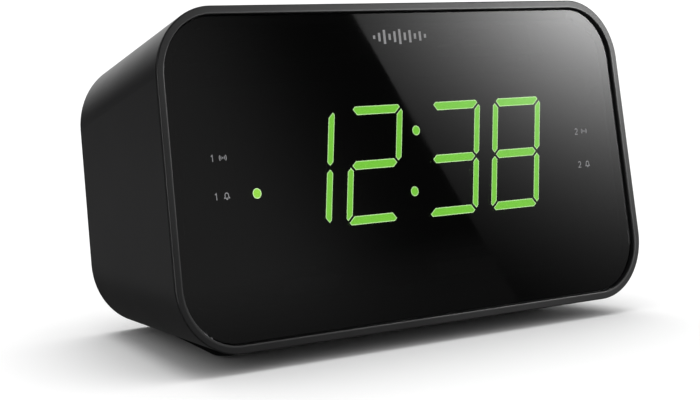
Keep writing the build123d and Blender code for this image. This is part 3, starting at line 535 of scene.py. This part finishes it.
def printed(name, plane, strokes, material, body):
    """Thin raised print on a CAD face; every stroke is a closed solid."""
    shape = bmesh.new()
    for left, right, closed in strokes:
        levels = []
        for z in (PRINT_LIFT, PRINT_LIFT + PRINT_THICKNESS):
            levels.append(
                [
                    [shape.verts.new(plane @ (Vector((p.x, p.y, z)) * MM)) for p in side]
                    for side in (left, right)
                ]
            )
        (low_left, low_right), (top_left, top_right) = levels
        count = len(left)
        for i in range(count if closed else count - 1):
            j = (i + 1) % count
            shape.faces.new((top_right[i], top_right[j], top_left[j], top_left[i]))
            shape.faces.new((low_left[i], low_left[j], low_right[j], low_right[i]))
            shape.faces.new((top_left[i], top_left[j], low_left[j], low_left[i]))
            shape.faces.new((low_right[i], low_right[j], top_right[j], top_right[i]))
        if not closed:
            for i in (0, count - 1):
                shape.faces.new((top_left[i], low_left[i], low_right[i], top_right[i]))
    bmesh.ops.recalc_face_normals(shape, faces=shape.faces)
    mesh = bpy.data.meshes.new(name)
    shape.to_mesh(mesh)
    shape.free()
    mesh.materials.append(material)
    piece = bpy.data.objects.new(name, mesh)
    bpy.context.scene.collection.objects.link(piece)
    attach(piece, body)


ONE = [(-0.35, 0.45), (0.05, 0.8), (0.05, -0.8)]
TWO = arc((0, 0.35), 0.45, 160, -35, 8) + [(-0.45, -0.75), (0.5, -0.75)]
BELL = (
    [(-0.75, -0.5), (-0.5, -0.15)]
    + arc((0, 0.25), 0.5, 180, 0, 8)
    + [(0.5, -0.15), (0.75, -0.5)]
)
CLAPPER = arc((0, -0.6), 0.22, 200, 340, 4)


def digit(shape, shift, size=1.0, width=LABEL_LINE):
    return stroke(moved(shape, shift, size), width)


def bell(shift, size=1.0, width=LABEL_LINE):
    outline = stroke(moved(BELL, shift, size), width, closed=True)
    return [outline, stroke(moved(CLAPPER, shift, size), width)]


def waves(shift):
    """A transmitter: a dot with two waves to each side of it."""
    marks = [disc(shift, 0.2)]
    for middle in (0, 180):
        for radius in (0.55, 1.0):
            marks.append(stroke(arc(shift, radius, middle - 40, middle + 40, 6), LABEL_LINE))
    return marks


def alarm_sign(number):
    """A key's sign for one of the two alarms: its number and a bell."""
    return [digit(number, (-1.4, 0), 1.1, KEY_LINE)] + bell((1.2, 0.1), 1.1, KEY_LINE)


def chevrons(first, second, way):
    """Two arrow heads that point right, way 1, or left, way -1."""
    head = [(-0.4 * way, 0.8), (0.4 * way, 0), (-0.4 * way, -0.8)]
    return [stroke(moved(head, (x, 0))) for x in (first, second)]


window_print = printed_ink("window_print", (0.27, 0.27, 0.28))
mark_print = printed_ink("mark_print", (0.25, 0.25, 0.256), roughness=0.55)
key_print = printed_ink("key_print", (0.5, 0.5, 0.5))
rear_print = printed_ink("rear_print", (0.09, 0.09, 0.092))

# Labels beside the indicators: the alarm's number with a wave or a bell
LABEL_ACROSS = 60.6
NUMBER_SHIFT = -2.3
SIGN_SHIFT = 0.7
UPPER_ROW = 5.2
LOWER_ROW = -3.95
for side, number in ((-1, ONE), (1, TWO)):
    for row, sign in ((UPPER_ROW, waves), (LOWER_ROW, bell)):
        digit_place = (side * LABEL_ACROSS + NUMBER_SHIFT, row)
        sign_place = (side * LABEL_ACROSS + SIGN_SHIFT, row)
        label = f"label_{'left' if side < 0 else 'right'}_{'upper' if row > 0 else 'lower'}"
        strokes = [digit(number, digit_place)] + sign(sign_place)
        printed(label, window, strokes, window_print, "cabinet")

# A plain row of bars above the display, like the picture of a sound
BAR_HEIGHTS = (0.9, 2.2, 3.6, 1.6, 2.8, 3.9, 2.0, 3.2, 1.4, 2.4, 1.0)
BAR_PITCH = 1.7
BAR_WIDTH = 0.75
MARK_ACROSS = -1.15
MARK_UP = 33
bars = []
for i, bar in enumerate(BAR_HEIGHTS):
    x = MARK_ACROSS + (i - (len(BAR_HEIGHTS) - 1) / 2) * BAR_PITCH
    bars.append(stroke([(x, MARK_UP - bar / 2), (x, MARK_UP + bar / 2)], BAR_WIDTH))
printed("window_mark", window, bars, mark_print, "cabinet")

# Key signs: alarms, clock, power, and tuning and volume down and up. The plus is the minus with
# a stub below it and a stub above it
MINUS = stroke([(-1.2, 0), (1.2, 0)], BOLD_LINE)
STUBS = [stroke([(0, -1.2), (0, -0.17)], BOLD_LINE), stroke([(0, 0.17), (0, 1.2)], BOLD_LINE)]
CLOCK_HANDS = stroke([(0, 0.85), (0, 0), (0.65, -0.35)], HAND_LINE)
key_signs = {
    "alarm_one_key": alarm_sign(ONE),
    "alarm_two_key": alarm_sign(TWO),
    "time_set_key": [ring((0, 0), 1.35, KEY_LINE), CLOCK_HANDS],
    "radio_key": [stroke(arc((0, -0.1), 1.2, 125, 415, 20)), stroke([(0, 1.5), (0, 0.2)])],
    "tuning_down_key": chevrons(-0.5, 0.7, -1),
    "tuning_up_key": chevrons(-0.7, 0.5, 1),
    "volume_down_key": [MINUS],
    "volume_up_key": [MINUS, *STUBS],
}
for key, signs in key_signs.items():
    printed(f"{key}_sign", face_plane(key, TOP_WAY), signs, key_print, key)


# Signs on the rear, placed from the middle of the cover
def polarity(x, y):
    """A pin in an open socket, wired to a minus on the left and a plus on the right."""
    pole_reach, pole_radius, socket_radius, pin_radius = 3.7, 1.1, 1.15, 0.45
    stub_start, stub_end = 0.14, 0.6
    minus, plus = x - pole_reach, x + pole_reach
    socket_left, pin_right = x - socket_radius - REAR_LINE / 2, x + 0.4
    signs = [
        disc((x, y), pin_radius),
        stroke(arc((x, y), socket_radius, 45, 315, 16), REAR_LINE),
        stroke([(pin_right, y), (plus - pole_radius, y)], REAR_LINE),
        stroke([(minus + pole_radius, y), (socket_left, y)], REAR_LINE),
    ]
    for pole in (minus, plus):
        signs.append(ring((pole, y), pole_radius, REAR_LINE))
        signs.append(stroke([(pole - pole_radius / 2, y), (pole + pole_radius / 2, y)], REAR_LINE))
    signs.append(stroke([(plus, y + stub_start), (plus, y + stub_end)], REAR_LINE))
    signs.append(stroke([(plus, y - stub_end), (plus, y - stub_start)], REAR_LINE))
    return signs


def aerial(x, y):
    """A mast with two slanting arms that meet it."""
    mast = stroke([(x, y - 1.6), (x, y + 1.5)], AERIAL_LINE)
    arms = [
        stroke([(x + side * 1.3, y + 1.5), (x + side * 0.2, y + 0.1)], AERIAL_LINE)
        for side in (-1, 1)
    ]
    return [mast, *arms]


def down_arrow(x, y):
    """Shows which way the battery door opens."""
    head = stroke([(x - 1.5, y + 0.3), (x, y - 1.3), (x + 1.5, y + 0.3)], ARROW_LINE)
    return [head, stroke([(x, y + 2.2), (x, y - 0.75)], ARROW_LINE)]


INLET_SIGN = (12, 9)
AERIAL_SIGN = (36, 10.5)
DOOR_SIGN = (19, -14.5)
rear_signs = polarity(*INLET_SIGN) + aerial(*AERIAL_SIGN)
printed("rear_signs", back, rear_signs, rear_print, "cabinet")
printed("door_sign", back, down_arrow(*DOOR_SIGN), rear_print, "battery_door")


# ---------------------------------------------------------------- studio floor and lamps
def stage_sheet(name, corners, matrix, material):
    """A stage sheet with the given corners in matrix's plane."""
    mesh = bpy.data.meshes.new(name)
    mesh.from_pydata([(*c, 0) for c in corners], [], [range(len(corners))])
    mesh.materials.append(material)
    sheet = bpy.data.objects.new(name, mesh)
    sheet.matrix_world = matrix
    bpy.context.scene.collection.objects.link(sheet)
    return sheet


# The floor is matt and pale; gloss doesn't mirror it but looks past it, into the room
FLOOR_REACH = 12.0
FLOOR_DROP = 0.05 * MM
FLOOR_TINTS = ((0.87, 0.87, 0.87), (0.89, 0.89, 0.89))
FLOOR_CLOUD = 0.4
floor_material, floor_tree, floor_shader = shader_tree("floor_paint")
floor_clouds = ranged(floor_tree, object_noise(floor_tree, FLOOR_CLOUD), 0.0, 1.0)
floor_tint = blended(floor_tree, floor_clouds, *FLOOR_TINTS)
floor_tree.links.new(floor_tint, floor_shader.inputs["Base Color"])
floor_shader.inputs["Roughness"].default_value = 1.0
floor_shader.inputs["Specular IOR Level"].default_value = 0.0
floor_corners = [(x * FLOOR_REACH, y * FLOOR_REACH) for x, y in ((-1, -1), (1, -1), (1, 1), (-1, 1))]
floor = stage_sheet("floor", floor_corners, Matrix.Translation((0, 0, -FLOOR_DROP)), floor_material)
floor.visible_glossy = False

# A tall soft box stands to the right in front. Its left edge slants, and its light fades towards
# that edge and its foot: each fade is the place of its middle and its width
BOX_WAY = Vector((0.645, -0.745, 0.171)).normalized()
BOX_DISTANCE = 0.9
BOX_CORNERS = [(0.052, -0.13), (0.3, -0.13), (0.3, 0.22), (-0.054, 0.22)]
BOX_GLOW = 41.5
BOX_SIDE_FADE = (0.14, 0.045)
BOX_FOOT_FADE = (0.0887, 0.0447)
box_right = -BOX_WAY.cross(Vector((0, 0, 1))).normalized()
box_up = BOX_WAY.cross(box_right).normalized()
box_place = Matrix((box_right, box_up, BOX_WAY)).transposed().to_4x4()
box_place.translation = window.translation + BOX_WAY * BOX_DISTANCE

box_material = bpy.data.materials.new("soft_box_cloth")
box_material.use_nodes = True
box_tree = box_material.node_tree
box_tree.nodes.clear()
box_spot = add_node(box_tree, "ShaderNodeTexCoord")
box_split = add_node(box_tree, "ShaderNodeSeparateXYZ")
box_tree.links.new(box_spot.outputs["Object"], box_split.inputs["Vector"])
box_across = fade(box_tree, box_split.outputs["X"], *BOX_SIDE_FADE)
box_upward = fade(box_tree, box_split.outputs["Y"], *BOX_FOOT_FADE)
box_shader = add_node(box_tree, "ShaderNodeEmission")
box_glow = product(box_tree, box_across, box_upward, BOX_GLOW)
box_tree.links.new(box_glow, box_shader.inputs["Strength"])
box_output = add_node(box_tree, "ShaderNodeOutputMaterial")
box_tree.links.new(box_shader.outputs[0], box_output.inputs["Surface"])
soft_box = stage_sheet("soft_box", BOX_CORNERS, box_place, box_material)
soft_box.visible_camera = False
soft_box.visible_diffuse = False
soft_box.visible_shadow = False

# One broad soft lamp far overhead, a little behind the radio and to its right
LAMP_WAY = Vector((0.15, 0.24, 0.96))
LAMP_SPREAD = radians(60)
LAMP_ENERGY = 2.04
lamp_light = bpy.data.lights.new("overhead", "SUN")
lamp_light.energy = LAMP_ENERGY
lamp_light.angle = LAMP_SPREAD
overhead = bpy.data.objects.new("overhead", lamp_light)
overhead.rotation_euler = LAMP_WAY.to_track_quat("Z", "Y").to_euler()
overhead.visible_glossy = False
bpy.context.scene.collection.objects.link(overhead)


# ---------------------------------------------------------------- studio room
# The camera sees white. Matt surfaces are lit by a plain dome, and gloss mirrors a room: grey in
# front, with a round light, and a white backdrop and a table behind. Places in the room are given
# by a direction's height, which is the sine of its rise above the horizon, and by headings
DOME_GLOW = 0.72
DOME_FOOT_SHARE = 0.6
FRONT_GLOW = 0.31
ROUND_GLOW = 6.0
REAR_GLOW = 0.76
TABLE_GLOW = 0.115
TABLE_NEAR_GLOW = 0.04


def heading(turn, rise=0.0):
    """Unit vector turned from straight out of the window towards +x, and raised, in degrees."""
    turn, rise = radians(turn), radians(rise)
    return Vector((sin(turn) * cos(rise), -cos(turn) * cos(rise), sin(rise)))


world = bpy.data.worlds.new("studio")
world.use_nodes = True
bpy.context.scene.world = world
sky = world.node_tree
sky.nodes.clear()
sky_way = add_node(sky, "ShaderNodeTexCoord").outputs["Generated"]
height = along(sky, sky_way, (0, 0, 1))
rearward = ranged(sky, along(sky, sky_way, (0, 1, 0)), 0.0, 1.0, start=-0.3, end=0.1)
forward = math_node(sky, "SUBTRACT", 1.0, rearward)

# The dark slanting gap beside the soft box
GAP_AT = heading(40.84, 10.9)
GAP_TILT = radians(15.5)
GAP_WIDTH = sin(radians(4.6))
GAP_SHARPNESS = 3.0


def room_gap():
    """1 in the open room and less in the gap, which is paler near the horizon."""
    up = Vector((0, 0, 1))
    way = GAP_AT.cross(up).normalized() * -cos(GAP_TILT) + up * sin(GAP_TILT)
    offset = math_node(sky, "SUBTRACT", along(sky, sky_way, way), way.dot(GAP_AT))
    share = math_node(sky, "ABSOLUTE", math_node(sky, "DIVIDE", offset, GAP_WIDTH))
    steep = math_node(sky, "POWER", share, GAP_SHARPNESS)
    darkness = math_node(sky, "EXPONENT", product(sky, steep, -1.0))
    near_gap = math_node(sky, "GREATER_THAN", along(sky, sky_way, GAP_AT), 0.9)
    depth = ranged(sky, height, 0.3, 0.88, start=0.085, end=0.13)
    return math_node(sky, "SUBTRACT", 1.0, product(sky, darkness, near_gap, depth))


def front_room():
    """A grey room, brightest in a band above the horizon, with the gap in it."""
    low_room = ranged(sky, height, 0.3, 1.0, start=0.078, end=0.13)
    high_room = ranged(sky, height, 1.0, 0.5, start=0.26, end=0.4)
    return product(sky, low_room, high_room, room_gap(), forward, FRONT_GLOW)


def round_light():
    """A soft round light beside the camera, on its left."""
    nearness = along(sky, sky_way, heading(-42, 10))
    return product(sky, ranged(sky, nearness, 0.0, 1.0, start=0.96, end=0.985), forward, ROUND_GLOW)


def backdrop():
    """A white backdrop, bright from the camera's line of sight to about 20 degrees left of it and
    fading on both sides."""
    left_side = along(sky, sky_way, heading(52))
    right_end = along(sky, sky_way, (1, 0, 0))
    return product(
        sky,
        ranged(sky, left_side, 0.0, 1.0, start=-0.63, end=-0.35),
        ranged(sky, right_end, 1.0, 0.15, start=0.6, end=0.8),
        ranged(sky, height, 1.0, 0.5, start=0.3, end=0.8),
        ranged(sky, height, 0.0, 1.0, start=-0.1, end=0.03),
        REAR_GLOW,
    )


def table():
    """The pale table behind the radio, dimmer close to it and fading out at the horizon."""
    far_side = ranged(sky, height, TABLE_GLOW, 0.0, start=-0.13, end=0.0)
    near_side = ranged(sky, height, TABLE_NEAR_GLOW, TABLE_GLOW, start=-0.34, end=-0.15)
    return math_node(sky, "MINIMUM", far_side, near_side)


rear_room = product(sky, math_node(sky, "MAXIMUM", backdrop(), table()), rearward)
lit_front = math_node(sky, "ADD", front_room(), round_light())
mirrored = math_node(sky, "ADD", lit_front, rear_room)
ray = add_node(sky, "ShaderNodeLightPath")
glossy = ray.outputs["Is Glossy Ray"]
dome = ranged(sky, height, DOME_FOOT_SHARE * DOME_GLOW, DOME_GLOW, start=0.0, end=0.5)
matt_share = product(sky, dome, math_node(sky, "SUBTRACT", 1.0, glossy))
room_light = math_node(sky, "ADD", matt_share, product(sky, mirrored, glossy))
white = (1, 1, 1, 1)
room = add_node(sky, "ShaderNodeBackground", Color=white)
sky.links.new(room_light, room.inputs["Strength"])
seen = add_node(sky, "ShaderNodeBackground", Color=white, Strength=1.0)
mixed = add_node(sky, "ShaderNodeMixShader")
sky.links.new(ray.outputs["Is Camera Ray"], mixed.inputs[0])
sky.links.new(room.outputs[0], mixed.inputs[1])
sky.links.new(seen.outputs[0], mixed.inputs[2])
sky_output = add_node(sky, "ShaderNodeOutputWorld")
sky.links.new(mixed.outputs[0], sky_output.inputs["Surface"])
world.cycles.sampling_method = "NONE"

bpy.context.scene.view_settings.view_transform = "Standard"

# ---------------------------------------------------------------- camera
# It stands in front, to the left, a little above the radio's top
CAMERA_PLACE = (-0.3116, -0.3951, 0.0958)
LOOKS_DOWN = radians(7.08)
ROLLS_LEFT = radians(0.09)
TURNS_RIGHT = radians(38.27)
camera_data = bpy.data.cameras.new("camera")
camera_data.sensor_width = 36.0
camera_data.lens = 96.6
camera_data.clip_start = 0.01
camera = bpy.data.objects.new("camera", camera_data)
camera.location = CAMERA_PLACE
camera.rotation_euler = (radians(90) - LOOKS_DOWN, -ROLLS_LEFT, -TURNS_RIGHT)
bpy.context.scene.collection.objects.link(camera)
bpy.context.scene.camera = camera
